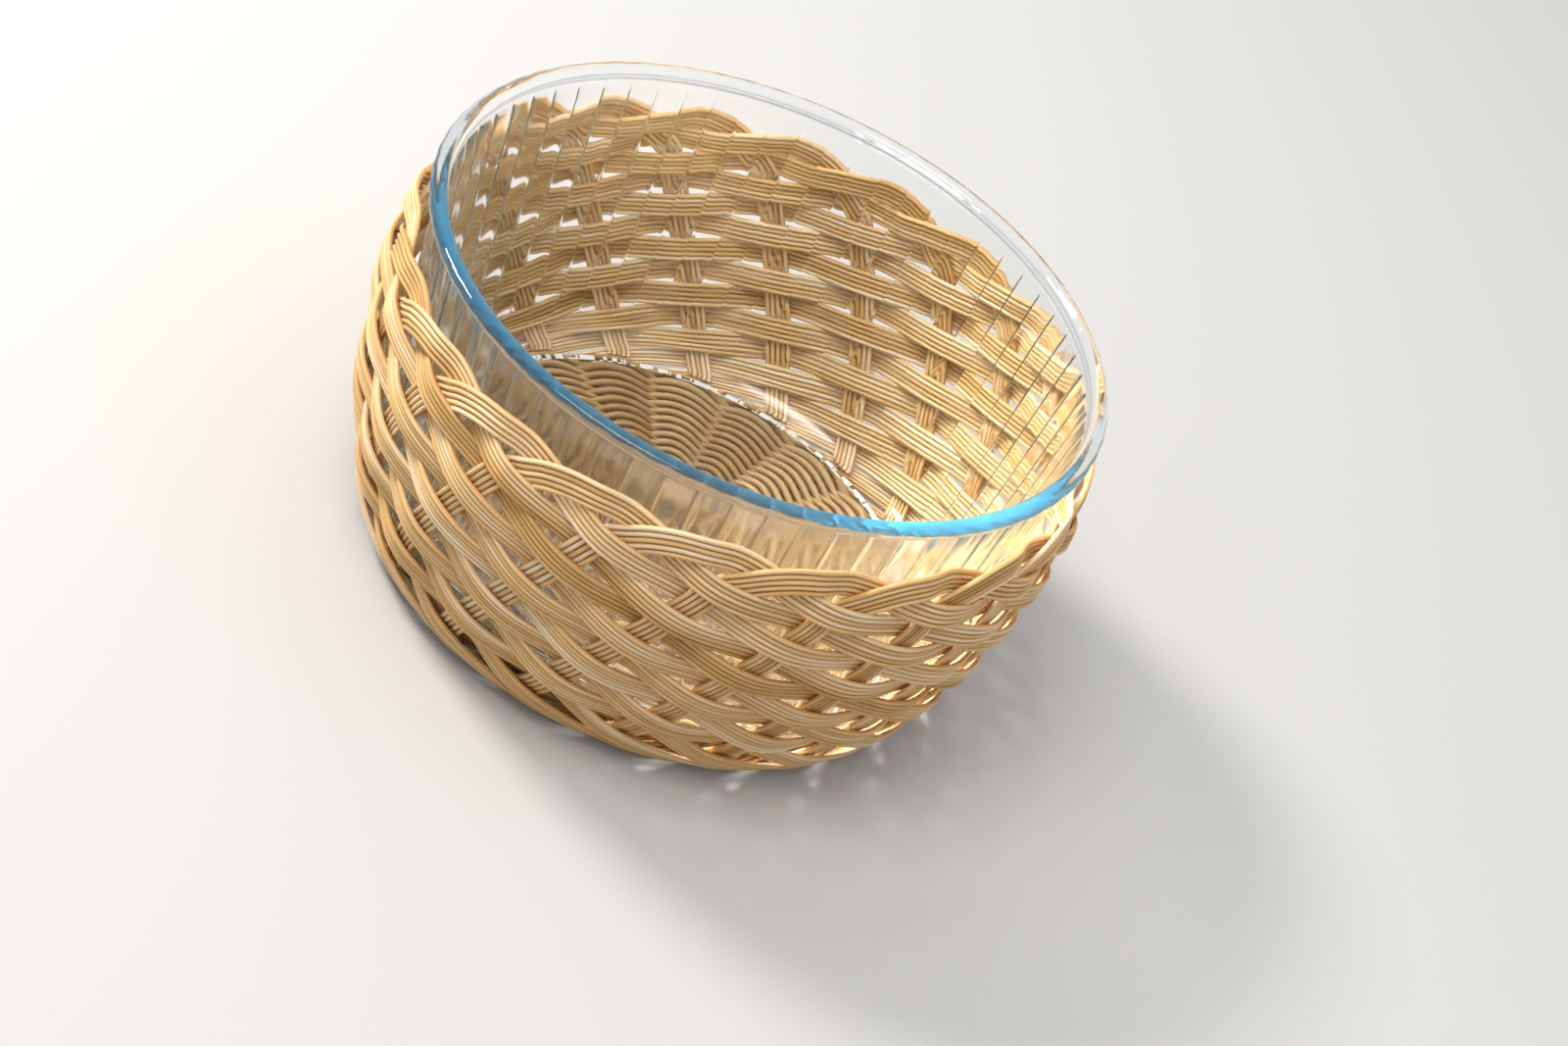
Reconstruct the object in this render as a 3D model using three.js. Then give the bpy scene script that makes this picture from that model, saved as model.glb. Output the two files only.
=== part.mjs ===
// A round wicker casserole holder with the fluted glass dish that lifts out of it.
// Millimetres, +Z up, origin on the surface that the holder stands on, at its centre.
import * as THREE from 'three';

// Glass dish
const rimRadius = 107.5;        // to the middle of the rim bead
const beadDiameter = 4.4;       // its height; it is a little wider, towards the inside
const beadWidth = 5.8;
const rimTaper = 9.0;           // the wall comes to its full thickness this far under the bead
const glassWall = 4.0;
const glassFloor = 4.2;
const dishDepth = 100.8;        // inner floor up to the middle of the bead
const collarSetBack = 1.4;      // the collar's outside lies this far inside the bead's middle
const collarDrop = 7.0;         // plain band between the bead and the flutes
const dishBaseRadius = 97.5;    // outside of the wall, where the bottom corner starts
const dishCornerRadius = 13.5;
const bearingRingWidth = 2.8;   // the dish stands on this ring, just inside the corner
const bearingRingHeight = 0.4;
const fluteCount = 64;
const fluteDepth = 0.9;

// Plaited wall: flat strands of round rods laid side by side
const strandCount = 20;
const rodsPerStrand = 5;
const wallRod = 1.58;
const strandGap = 0.3;          // least gap between two strands that run side by side
const strandLift = 2.5;         // how far a strand swings out and in of the wall's mean surface
const slantRatio = 0.115;       // columns that a rising strand leans for each row
const crossingHoldRatio = 0.19; // columns each side of a crossing where a strand keeps its height
const rimShow = 13.4;           // glass left bare between the plait's top and the bead's middle
const dishGap = 1.0;            // between the dish's side and the plait's innermost rods
const shoulderBelly = 8.2;      // how far the profile's control points lie out of that line
const waistBelly = 6.3;
const shoulderDrop = 22.0;      // below the plait's top
const waistRise = 25.0;         // above the foot of the wall
const wallFootHeight = 20.0;
const footRingInset = 9.5;      // the strands' ends lie flat on the ground, this far inside the
const footRingWidth = 6.5;      // dish's base radius
const tailRowCount = 2.3;       // rows that a strand runs on after its last crossing
const underFootRowCount = 0.55; // the wall's surface runs on this far past its last row
const stickRowCount = 1.25;     // a strand starts in line with itself this far above that row

// Woven base
const baseStick = 2.4;
const baseWeaver = 1.6;
const weaverPitch = 2.0;        // from one weaver to the next, along a stick
const baseEdgeInset = 6.3;      // inside the dish's base radius
const weaveStartRadius = 25.0;
const slathSpacing = 2.75;      // the sticks' spacing where five lie over five
const slathCross = 7.6;         // half length of that crossing
const slathParallel = 17.0;     // the sticks run side by side out to here
const slathFan = 24.0;          // and radially from here
const binderRadii = [13.2, 16.8, 20.4];

// Clearances
const fitGap = 0.35;            // between two pieces of wicker that touch
const seatGap = 0.3;            // between the dish and the woven base under it

const column = 2 * Math.PI / strandCount;
const strandWidth = rodsPerStrand * wallRod;
const stickRadius = baseStick / 2;
const weaverRadius = baseWeaver / 2;
const collarRadius = rimRadius - collarSetBack;
const baseEdgeRadius = dishBaseRadius - baseEdgeInset;

// The height at which a weaver's middle passes a stick, for sticks that lie a chord apart.
const passDistance = stickRadius + weaverRadius + fitGap;
function weaverRise(radius) {
  const chord = 2 * radius * Math.sin(column / 2);
  return passDistance / Math.sqrt(1 - (2 * passDistance / chord) ** 2);
}

// Levels, from the ground up
const footSurface = strandLift + wallRod / 2;
const baseLevel = wallRod + fitGap + weaverRise(weaveStartRadius) + weaverRadius;
const dishBottom = baseLevel + weaverRise(weaveStartRadius) + weaverRadius + seatGap;
const dishInside = dishBottom + glassFloor;
const beadLevel = dishInside + dishDepth;
const wallTop = beadLevel - rimShow;
const cornerLevel = dishBottom + dishCornerRadius;
const fluteTop = beadLevel - collarDrop;

const glass = new THREE.MeshStandardMaterial({ color: 0xd5e6ea, roughness: 0.05, metalness: 0 });
const paleWicker = new THREE.MeshStandardMaterial({ color: 0xd2ad78, roughness: 0.6, metalness: 0 });
const tanWicker = new THREE.MeshStandardMaterial({ color: 0xb28350, roughness: 0.65, metalness: 0 });

// A closed body from vertex positions and triangles.
function bodyGeometry(positions, triangles) {
  const geometry = new THREE.BufferGeometry();
  geometry.setAttribute('position', new THREE.Float32BufferAttribute(positions, 3));
  geometry.setIndex(triangles);
  geometry.computeVertexNormals();
  return geometry;
}

// Sweeps a section along stations. Each station has a point, a side and an up vector, and each
// section point is [side, up], counter-clockwise when the path comes towards the viewer.
function sweep(stations, section, closed = false) {
  const positions = [];
  const triangles = [];
  const sides = section.length;
  for (const { point, side, up } of stations) {
    for (const [a, b] of section) {
      const corner = point.clone().addScaledVector(side, a).addScaledVector(up, b);
      positions.push(corner.x, corner.y, corner.z);
    }
  }
  const lengths = closed ? stations.length : stations.length - 1;
  for (let i = 0; i < lengths; i++) {
    const here = i * sides;
    const next = ((i + 1) % stations.length) * sides;
    for (let k = 0; k < sides; k++) {
      const l = (k + 1) % sides;
      triangles.push(here + k, here + l, next + l, here + k, next + l, next + k);
    }
  }
  if (!closed) {
    const last = (stations.length - 1) * sides;
    for (let k = 1; k < sides - 1; k++) {
      triangles.push(0, k + 1, k);
      triangles.push(last, last + k, last + k + 1);
    }
  }
  return bodyGeometry(positions, triangles);
}

// Gives each point of a path a side and an up vector square to its direction.
function stationsAlong(points, upAt, closed = false) {
  const count = points.length;
  return points.map((point, i) => {
    const before = points[closed ? (i + count - 1) % count : Math.max(i - 1, 0)];
    const after = points[closed ? (i + 1) % count : Math.min(i + 1, count - 1)];
    const along = after.clone().sub(before).normalize();
    const side = upAt(i).clone().cross(along).normalize();
    const up = along.clone().cross(side);
    return { point, side, up };
  });
}

function roundSection(radius, sides) {
  return Array.from({ length: sides }, (_, k) => {
    const angle = 2 * Math.PI * (k + 0.5) / sides;
    return [radius * Math.cos(angle), radius * Math.sin(angle)];
  });
}

function addMesh(group, name, geometry, material) {
  const mesh = new THREE.Mesh(geometry, material);
  mesh.name = name;
  group.add(mesh);
  return mesh;
}

// A point of the wall's profile, x as radius and y as height. It lies a belly out of the surface
// that would just clear the dish's side.
function profilePoint(level, belly) {
  const share = (level - cornerLevel) / (fluteTop - cornerLevel);
  const dishSide = dishBaseRadius + share * (collarRadius - dishBaseRadius);
  return new THREE.Vector2(dishSide + dishGap + strandLift + wallRod / 2 + belly, level);
}

// The wall's mean surface is this profile, turned about Z.
function makeWallProfile() {
  const top = profilePoint(wallTop, 0);
  const shoulder = profilePoint(wallTop - shoulderDrop, shoulderBelly);
  const waist = profilePoint(wallFootHeight + waistRise, waistBelly);
  const foot = profilePoint(wallFootHeight, 0);
  const footRingOut = dishBaseRadius - footRingInset;
  const slope = (foot.x - waist.x) / (foot.y - waist.y);
  const corner = new THREE.Vector2(foot.x + slope * (footSurface - foot.y), footSurface);
  const ringOut = new THREE.Vector2(footRingOut, footSurface);
  const ringIn = new THREE.Vector2(footRingOut - footRingWidth, footSurface);
  const profile = new THREE.CurvePath();
  profile.add(new THREE.CubicBezierCurve(top, shoulder, waist, foot));
  profile.add(new THREE.QuadraticBezierCurve(foot, corner, ringOut));
  profile.add(new THREE.LineCurve(ringOut, ringIn));
  return profile;
}
const wallProfile = makeWallProfile();
const wallLength = wallProfile.getLength();

// Rows of crossings down the wall: an even number, as close as the strands' width allows where
// the columns are narrowest, under the foot.
const footColumn = column * (dishBaseRadius - footRingInset - footRingWidth / 2);
const closestSlope = Math.asin((strandWidth + strandGap) / footColumn);
const closestRow = (1 - slantRatio) * footColumn * Math.tan(closestSlope);
const rowCount = 2 * Math.floor((wallLength / closestRow - underFootRowCount) / 2);
const rowSpan = rowCount + underFootRowCount;

// A place on the wall: how many columns round it, how many rows down it, how far out of it.
function wallPoint(columns, rows, out) {
  const share = Math.min(Math.max(rows / rowSpan, 0), 1);
  const here = wallProfile.getPoint(share);
  const before = wallProfile.getPoint(Math.max(share - 0.004, 0));
  const after = wallProfile.getPoint(Math.min(share + 0.004, 1));
  const down = after.sub(before).normalize();
  const radial = new THREE.Vector3(Math.cos(columns * column), Math.sin(columns * column), 0);
  const normal = radial.clone().multiplyScalar(-down.y);
  normal.z = down.x;
  const point = radial.multiplyScalar(here.x);
  point.z = here.y;
  return { point: point.addScaledVector(normal, out), normal };
}

// The turn at the top, in columns and rows, from the rising line round to the falling line, and
// over the first rising strand that it meets there.
const scallopTurn = [
  [-0.27, 2.35], [-0.06, 1.71], [0.12, 1.13], [0.33, 0.73],
  [0.6, 0.55], [0.86, 0.7], [1.08, 1.05], [1.36, 1.54], [1.6, 1.85], [2.08, 2.35],
];
const scallopOut = [-0.15, -0.15, 0.4, 0.65, 0.5, -0.85, -1, -1, 1, 1];

// Where a strand comes up from the base: rows past the last crossing and share of the lift, and
// then one station for each step until the turn begins.
const riseEntry = [[0.6, -0.32], [-0.45, 0]];
const riseRowStep = 1.6;
const turnStartRow = 3;

// Stations of the end that lies under the foot, as shares of its length.
const tailShares = [0.35, 0.8, 1];

// One strand: up from the base, over the scallop and down round the wall to the ground, over
// one rising strand and under the next.
function strandGeometry() {
  const path = [];
  const lastCrossing = rowCount - 2;
  const rise = (row, out) => path.push(wallPoint(-slantRatio * row, row, out));
  const fall = (columns, out) => path.push(wallPoint(columns, columns / (1 - slantRatio), out));

  const startRadius = baseEdgeRadius + 2 * fitGap + wallRod / 2;
  const start = new THREE.Vector3(Math.cos(firstStickAngle), Math.sin(firstStickAngle), 0);
  start.multiplyScalar(startRadius).setZ(baseLevel);
  path.push({ point: start, normal: new THREE.Vector3(0, 0, -1) });
  riseEntry.forEach(([rows, out]) => rise(lastCrossing + rows, out * strandLift));
  for (let row = lastCrossing - 1; row > turnStartRow; row -= riseRowStep) rise(row, 0);
  scallopTurn.forEach(([columns, row], i) => {
    path.push(wallPoint(columns, row, scallopOut[i] * strandLift));
  });
  for (let crossing = 3; crossing <= lastCrossing; crossing++) {
    const out = crossing % 2 ? -strandLift : strandLift;
    const centre = crossing * (1 - slantRatio);
    fall(centre - crossingHoldRatio, out);
    fall(centre + crossingHoldRatio, out);
  }
  const tail = lastCrossing * (1 - slantRatio);
  const tailLength = tailRowCount * (1 - slantRatio);
  for (const share of tailShares) fall(tail + share * tailLength, strandLift);

  const halfWidth = strandWidth / 2;
  const halfRod = wallRod / 2;
  const section = [
    [-halfWidth, -halfRod], [halfWidth, -halfRod], [halfWidth, halfRod], [-halfWidth, halfRod],
  ];
  return sweep(stationsAlong(path.map((p) => p.point), (i) => path[i].normal), section);
}

// Angle of the first base stick's end: each stick ends where a strand starts.
const firstStickAngle = -slantRatio * (rowCount - stickRowCount) * column;

// One stick of the base. Five lie over five at the centre, and all fan out to even angles.
function stickPoints(place, level) {
  const fanAngle = place * column;
  const offset = place * slathSpacing;
  const outward = new THREE.Vector3(Math.cos(fanAngle), Math.sin(fanAngle), 0);
  const half = [
    outward.clone().multiplyScalar(baseEdgeRadius),
    outward.clone().multiplyScalar(slathFan),
    new THREE.Vector3(slathParallel, offset, 0),
    new THREE.Vector3(slathCross, offset, level),
  ];
  const back = half.map((p) => new THREE.Vector3(-p.x, p.y, p.z)).reverse();
  return [...half, ...back];
}

// A weaver goes round the base over one stick and under the next.
function weaverGeometry(startRadius, phase) {
  const points = [];
  const perStep = 2 * weaverPitch / strandCount;
  const endRadius = baseEdgeRadius - weaverRadius - fitGap;
  for (let step = 0; startRadius + perStep * step <= endRadius; step++) {
    const radius = startRadius + perStep * step;
    const angle = firstStickAngle + step * column;
    const side = (step + phase) % 2 ? -1 : 1;
    const level = baseLevel + side * weaverRise(radius);
    points.push(new THREE.Vector3(radius * Math.cos(angle), radius * Math.sin(angle), level));
  }
  const vertical = new THREE.Vector3(0, 0, 1);
  return sweep(stationsAlong(points, () => vertical), roundSection(weaverRadius, 4));
}

// A binder ties the slath: over the five sticks of one arm and under those of the next.
function binderGeometry(radius, phase) {
  const points = [];
  const armReach = Math.asin((2 * slathSpacing + stickRadius) / radius) + 0.05;
  for (let arm = 0; arm < 4; arm++) {
    const side = (arm + phase) % 2 ? -1 : 1;
    for (const share of [-1, 0, 1]) {
      const angle = firstStickAngle + arm * Math.PI / 2 + share * armReach;
      const level = baseLevel + side * binderRise;
      points.push(new THREE.Vector3(radius * Math.cos(angle), radius * Math.sin(angle), level));
    }
  }
  const vertical = new THREE.Vector3(0, 0, 1);
  return sweep(stationsAlong(points, () => vertical, true), roundSection(weaverRadius, 4), true);
}
const slathLevel = stickRadius + fitGap / 2;
const binderRise = weaverRise(weaveStartRadius);

// The dish: one closed wall from the middle of its underside, out, up, over the bead and back.
function dishGeometry() {
  const bead = beadDiameter / 2;
  const cornerCentre = dishBaseRadius - dishCornerRadius;
  const cornerPart = (angle, radius, level) => [
    cornerCentre + radius * Math.sin(angle), level - radius * Math.cos(angle),
  ];
  const insideCorner = dishCornerRadius - glassWall;
  const insideLevel = dishInside + insideCorner;
  const fluted = true;
  const innerBead = rimRadius + 2 * bead - beadWidth;
  const underside = dishBottom + bearingRingHeight;
  const rings = [
    [cornerCentre - bearingRingWidth - bearingRingHeight, underside],
    [cornerCentre - bearingRingWidth, dishBottom],
    [...cornerPart(0, dishCornerRadius, cornerLevel)],
    [...cornerPart(Math.PI / 4, dishCornerRadius, cornerLevel)],
    [dishBaseRadius, cornerLevel, fluted],
    [collarRadius - fluteDepth, fluteTop, fluted],
    [collarRadius, fluteTop + fluteDepth],
    [collarRadius, beadLevel - bead],
    [rimRadius + bead * Math.SQRT1_2, beadLevel - bead * Math.SQRT1_2],
    [rimRadius + bead, beadLevel],
    [rimRadius + bead * Math.SQRT1_2, beadLevel + bead * Math.SQRT1_2],
    [rimRadius, beadLevel + bead],
    [innerBead, beadLevel + bead],
    [innerBead - bead * Math.SQRT1_2, beadLevel + bead * Math.SQRT1_2],
    [innerBead - bead, beadLevel],
    [collarRadius - glassWall, beadLevel - rimTaper],
    [dishBaseRadius - glassWall, insideLevel],
    [...cornerPart(Math.PI / 4, insideCorner, insideLevel)],
    [...cornerPart(0, insideCorner, insideLevel)],
  ];
  const positions = [0, 0, underside, 0, 0, dishInside];
  const triangles = [];
  const starts = rings.map(([radius, level, isFluted]) => {
    const start = positions.length / 3;
    const count = isFluted ? 2 * fluteCount : fluteCount;
    for (let k = 0; k < count; k++) {
      const angle = 2 * Math.PI * k / count;
      const swell = isFluted && k % 2 ? -fluteDepth : 0;
      positions.push((radius + swell) * Math.cos(angle), (radius + swell) * Math.sin(angle), level);
    }
    return { start, count };
  });
  for (let k = 0; k < fluteCount; k++) {
    const first = starts[0].start;
    const last = starts[starts.length - 1].start;
    const next = (k + 1) % fluteCount;
    triangles.push(0, first + next, first + k);
    triangles.push(1, last + k, last + next);
  }
  for (let i = 0; i + 1 < starts.length; i++) stitch(starts[i], starts[i + 1], triangles);
  return bodyGeometry(positions, triangles);
}

// Joins two rings that have as many points as each other, or one with twice as many.
function stitch(lower, upper, triangles) {
  for (let k = 0; k < fluteCount; k++) {
    const next = (k + 1) % fluteCount;
    const at = (ring, place) => ring.start + (place * ring.count / fluteCount) % ring.count;
    if (lower.count === upper.count) {
      const steps = lower.count / fluteCount;
      for (let j = 0; j < steps; j++) {
        const a = lower.start + k * steps + j;
        const b = lower.start + (k * steps + j + 1) % lower.count;
        const c = upper.start + (k * steps + j + 1) % upper.count;
        const d = upper.start + k * steps + j;
        triangles.push(a, b, c, a, c, d);
      }
    } else if (lower.count < upper.count) {
      const middle = at(upper, k) + 1;
      triangles.push(at(lower, k), at(lower, next), middle);
      triangles.push(at(lower, k), middle, at(upper, k));
      triangles.push(at(lower, next), at(upper, next), middle);
    } else {
      const middle = at(lower, k) + 1;
      triangles.push(at(lower, k), middle, at(upper, k));
      triangles.push(middle, at(upper, next), at(upper, k));
      triangles.push(middle, at(lower, next), at(upper, next));
    }
  }
}

const holder = new THREE.Group();

const base = new THREE.Group();
holder.add(base);
const vertical = new THREE.Vector3(0, 0, 1);
for (let arm = 0; arm < 2; arm++) {
  const level = arm ? -slathLevel : slathLevel;
  for (let place = -2; place <= 2; place++) {
    const points = stickPoints(place, level);
    const geometry = sweep(stationsAlong(points, () => vertical), roundSection(stickRadius, 6));
    const number = String(arm * 5 + place + 3).padStart(2, '0');
    const stick = addMesh(base, `base_stick_${number}`, geometry, tanWicker);
    stick.position.z = baseLevel;
    stick.rotation.z = firstStickAngle + arm * Math.PI / 2;
  }
}
binderRadii.forEach((radius, i) => {
  addMesh(base, `slath_binder_${i + 1}`, binderGeometry(radius, i), tanWicker);
});
addMesh(base, 'base_weaver_a', weaverGeometry(weaveStartRadius, 0), tanWicker);
addMesh(base, 'base_weaver_b', weaverGeometry(weaveStartRadius + weaverPitch, 1), tanWicker);

const wall = new THREE.Group();
holder.add(wall);
const strand = strandGeometry();
for (let i = 0; i < strandCount; i++) {
  const name = `wall_strand_${String(i + 1).padStart(2, '0')}`;
  addMesh(wall, name, strand, paleWicker).rotation.z = i * column;
}

const dish = new THREE.Group();
holder.add(dish);
addMesh(dish, 'glass_dish', dishGeometry(), glass);

export default holder;
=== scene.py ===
# %% [markdown]
# # A wicker casserole holder
# The holder is a basket plaited from flat strands of five thin rods each. A fluted glass dish
# stands in it and lifts out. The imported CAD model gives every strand, stick and weaver its size
# and place as a plain band or tube. Here each of them becomes real round rods with a fibre
# grain, and the dish becomes clear glass with fine pressed seams and a blue rim. The lesson goes
# from the sizes to the plaited wall, the woven base, the glass, and last the stage, the light
# and the camera.

# %% Load the frame
import math
import bpy
import numpy as np
from mathutils import Matrix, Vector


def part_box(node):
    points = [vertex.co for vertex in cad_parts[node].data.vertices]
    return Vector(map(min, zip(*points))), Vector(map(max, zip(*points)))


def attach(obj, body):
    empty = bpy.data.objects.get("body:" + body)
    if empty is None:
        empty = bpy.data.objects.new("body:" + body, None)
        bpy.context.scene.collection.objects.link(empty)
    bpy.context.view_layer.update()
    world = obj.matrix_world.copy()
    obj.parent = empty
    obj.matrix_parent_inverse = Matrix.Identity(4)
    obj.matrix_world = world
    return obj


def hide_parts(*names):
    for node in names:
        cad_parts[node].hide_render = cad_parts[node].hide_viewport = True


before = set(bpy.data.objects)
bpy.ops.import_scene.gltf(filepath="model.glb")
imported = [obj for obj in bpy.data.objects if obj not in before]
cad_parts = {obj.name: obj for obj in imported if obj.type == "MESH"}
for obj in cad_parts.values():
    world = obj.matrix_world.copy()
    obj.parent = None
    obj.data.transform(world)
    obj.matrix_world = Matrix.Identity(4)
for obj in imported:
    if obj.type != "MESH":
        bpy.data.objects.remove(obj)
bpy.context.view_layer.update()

# %% [markdown]
# ## The dish gives the sizes
# A holder is made to fit its dish, so the dish comes first. All lengths are in metres and repeat
# those of the CAD model. The two levels could be typed in too, but reading them from the packed
# model keeps the scene right when the model changes. The side of the dish is a straight line
# from the rounded corner at the bottom up to the plain collar under the rim. The wall of the
# holder follows that line, so it has a function of its own.

# %% Sizes of the dish
RIM_RADIUS = 0.1075
BEAD_RADIUS = 0.0022
BEAD_WIDTH = 0.0058
GLASS_WALL = 0.004
GLASS_FLOOR = 0.0042
DISH_BASE = 0.0975
DISH_CORNER = 0.0135
DISH_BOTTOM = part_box("glass_dish")[0][2]
BEAD_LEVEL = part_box("glass_dish")[1][2] - BEAD_RADIUS
COLLAR = RIM_RADIUS - 0.0014
CORNER_LEVEL = DISH_BOTTOM + DISH_CORNER
FLUTE_TOP = BEAD_LEVEL - 0.007


def dish_side(level):
    """The outer radius of the dish's straight side at a level."""
    share = (level - CORNER_LEVEL) / (FLUTE_TOP - CORNER_LEVEL)
    return DISH_BASE + share * (COLLAR - DISH_BASE)


print("bead at", round(BEAD_LEVEL, 4), "dish bottom at", round(DISH_BOTTOM, 4))

# %% [markdown]
# ## The mean surface of the wall
# Every strand swings a little outwards and inwards of one smooth surface, which is a profile
# turned about the middle. The strands could be placed one by one in space, but then each bend
# of the wall would have to be worked into every one of them. So the wall gets its own
# coordinates: a column is the step from one strand to the next round the wall, and a row is the
# step from one crossing to the next down the wall.

# %% Sizes of the wall
STRANDS = 20
COLUMN = 2 * math.pi / STRANDS
ROWS = 14
ROW_SPAN = ROWS + 0.55
LIFT = 0.0025
BAND_THICKNESS = 0.00158
CLEARANCE = 0.001
WALL_TOP = BEAD_LEVEL - 0.0134
FOOT_SURFACE = LIFT + BAND_THICKNESS / 2
FOOT_OUTSIDE = 0.088
FOOT_INSIDE = 0.0815
print("strands:", STRANDS, "rows:", ROWS, "swing in and out:", LIFT, "m")

# %% [markdown]
# ## The wall's profile
# The real wall bellies out a little, draws in at the bottom and turns under to a flat foot. It is
# drawn with Bezier curves, which need only a few points that mean something: the top, the
# shoulder, the waist, the corner and the foot. Measured points joined by straight lines would
# leave kinks, and every strand would show them.

# %% The wall's profile
def bezier(points, steps=400):
    t = np.linspace(0, 1, steps)[:, None]
    points = [np.array(point) for point in points]
    while len(points) > 1:
        points = [a * (1 - t) + b * t for a, b in zip(points[:-1], points[1:])]
    return points[0]


def beside_dish(level, belly):
    """A point of the profile, as far outside the dish as a swinging strand needs."""
    return dish_side(level) + CLEARANCE + LIFT + BAND_THICKNESS / 2 + belly, level


wall_top = beside_dish(WALL_TOP, 0)
shoulder = beside_dish(WALL_TOP - 0.022, 0.0082)
waist = beside_dish(0.045, 0.0063)
wall_foot = beside_dish(0.02, 0)
lean = (wall_foot[0] - waist[0]) / (wall_foot[1] - waist[1])
corner = (wall_foot[0] + lean * (FOOT_SURFACE - wall_foot[1]), FOOT_SURFACE)
foot_outside = (FOOT_OUTSIDE, FOOT_SURFACE)
foot_inside = (FOOT_INSIDE, FOOT_SURFACE)
profile = np.vstack([
    bezier([wall_top, shoulder, waist, wall_foot]),
    bezier([wall_foot, corner, foot_outside])[1:],
    bezier([foot_outside, foot_inside])[1:],
])
profile_length = np.r_[0, np.cumsum(np.linalg.norm(np.diff(profile, axis=0), axis=1))]
print("wall profile", round(profile_length[-1], 4), "m long")
print("a row is", round(profile_length[-1] / ROW_SPAN, 5), "m high")

# %% [markdown]
# ## Places in the wall
# A strand needs a place in space for every column and row. Equal steps of a Bezier curve's own
# number aren't equal steps along the wall, so the profile is walked by its length instead. Its
# slope, taken over a short step, gives the direction straight out of the wall, in which the
# strands swing.

# %% Places in the wall
def along_profile(length):
    """Radius and height at a length along the profile."""
    return np.array([np.interp(length, profile_length, profile[:, k]) for k in (0, 1)])


def on_wall(columns, rows, out, step=0.0004):
    """Places and outward normals, from columns round the wall, rows down it and metres out of it."""
    length = np.clip(rows / ROW_SPAN, 0, 1) * profile_length[-1]
    radius, height = along_profile(length)
    down = along_profile(length + step) - along_profile(np.clip(length - step, 0, None))
    down /= np.linalg.norm(down, axis=0)
    c, s = np.cos(columns * COLUMN), np.sin(columns * COLUMN)
    normal = np.stack([-down[1] * c, -down[1] * s, down[0]], axis=1)
    place = np.stack([radius * c, radius * s, height], axis=1)
    return place + normal * out[:, None], normal


probe, _ = on_wall(np.zeros(3), np.array([0, 7, ROW_SPAN]), np.zeros(3))
print("radius at the top, half way down and at the foot:", probe[:, 0].round(4))

# %% [markdown]
# ## Paths
# A rod's path starts as a few control points. Straight pieces between them would show as kinks,
# so a smooth curve through all of them is sampled finely. Its slope at a point is a mean of the
# slopes on both sides, which keeps it from swinging wide of the points.

# %% Smooth paths
def smooth_path(points, spacing):
    """A smooth curve through the points, with samples about the given spacing apart."""
    points = np.asarray(points, float)
    chord = np.linalg.norm(np.diff(points[:, :3], axis=0), axis=1)
    t = np.r_[0, np.cumsum(np.maximum(chord, 1e-9))]
    w = np.diff(t)
    slopes = np.diff(points, axis=0) / w[:, None]
    tangent = np.empty_like(points)
    tangent[0], tangent[-1] = slopes[0], slopes[-1]
    weighted = slopes[:-1] * w[1:, None] + slopes[1:] * w[:-1, None]
    tangent[1:-1] = weighted / (w[1:] + w[:-1])[:, None]
    at = np.linspace(0, t[-1], max(int(t[-1] / spacing), 4) + 1)
    k = np.clip(np.searchsorted(t, at, side="right") - 1, 0, len(w) - 1)
    u = ((at - t[k]) / w[k])[:, None]
    h = w[k][:, None]
    return ((2 * u**3 - 3 * u**2 + 1) * points[k] + (u**3 - 2 * u**2 + u) * h * tangent[k]
            + (3 * u**2 - 2 * u**3) * points[k + 1] + (u**3 - u**2) * h * tangent[k + 1])


def lengths(points):
    """The length along a path at each of its points."""
    return np.r_[0, np.cumsum(np.linalg.norm(np.diff(points, axis=0), axis=1))]


bend = smooth_path([(0, 0, 0), (0.02, 0, 0), (0.02, 0.02, 0)], 0.002)
print("a bend of 4 cm has", len(bend), "samples and is", round(lengths(bend)[-1], 4), "m long")

# %% [markdown]
# ## Directions along a path
# A rod has to know which way is up at every sample. A rough up direction is given, and two
# cross products turn it into exact directions along the rod, to its side and to its top.
# Blender's own curves work out such directions too, but their twist is hard to rule, and the
# five rods of a strand have to stay side by side through every bend.

# %% Directions along a path
def unit(v):
    return v / np.linalg.norm(v, axis=1, keepdims=True)


def directions(points, up, closed=False):
    """Along, side and top at each point of a path whose rough up directions are given."""
    if closed:
        along = np.roll(points, -1, axis=0) - np.roll(points, 1, axis=0)
    else:
        along = np.gradient(points, axis=0)
    along = unit(along)
    side = unit(np.cross(up, along))
    return along, side, np.cross(along, side)


def turned(angle):
    """The matrix of a turn about the middle of the holder."""
    c, s = math.cos(angle), math.sin(angle)
    return np.array([[c, -s, 0], [s, c, 0], [0, 0, 1]])


print("one column turns a strand by", round(math.degrees(COLUMN)), "degrees")

# %% [markdown]
# ## Small irregularities
# Cane is a natural material, pulled tight by hand, so no rod runs quite straight or keeps quite
# the same thickness. Noise from sample to sample would look like roughness. A few long random
# waves added up look like a hand at work. The random numbers come from one seeded generator, so
# every run of the script gives the same basket.

# %% A slow random wave
SEED = 20
rng = np.random.default_rng(SEED)


def wander(length, size, shortest, longest):
    """A random wave along a rod, in the units of size, from waves of the given lengths."""
    total = np.zeros_like(length)
    for _ in range(3):
        wave = rng.uniform(shortest, longest)
        total += rng.uniform(0.3, 1) * np.sin(2 * math.pi * (length / wave + rng.uniform()))
    return size * total / 2


print("the random numbers start from seed", SEED)

# %% [markdown]
# ## The faces of a rod
# Each ring of points is joined to the next by four-sided faces. A closed rod, such as a binding,
# joins its last ring to the first. An open rod gets a flat face at both ends, as if it were cut,
# because an open tube would show its inside and isn't a solid.

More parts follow.
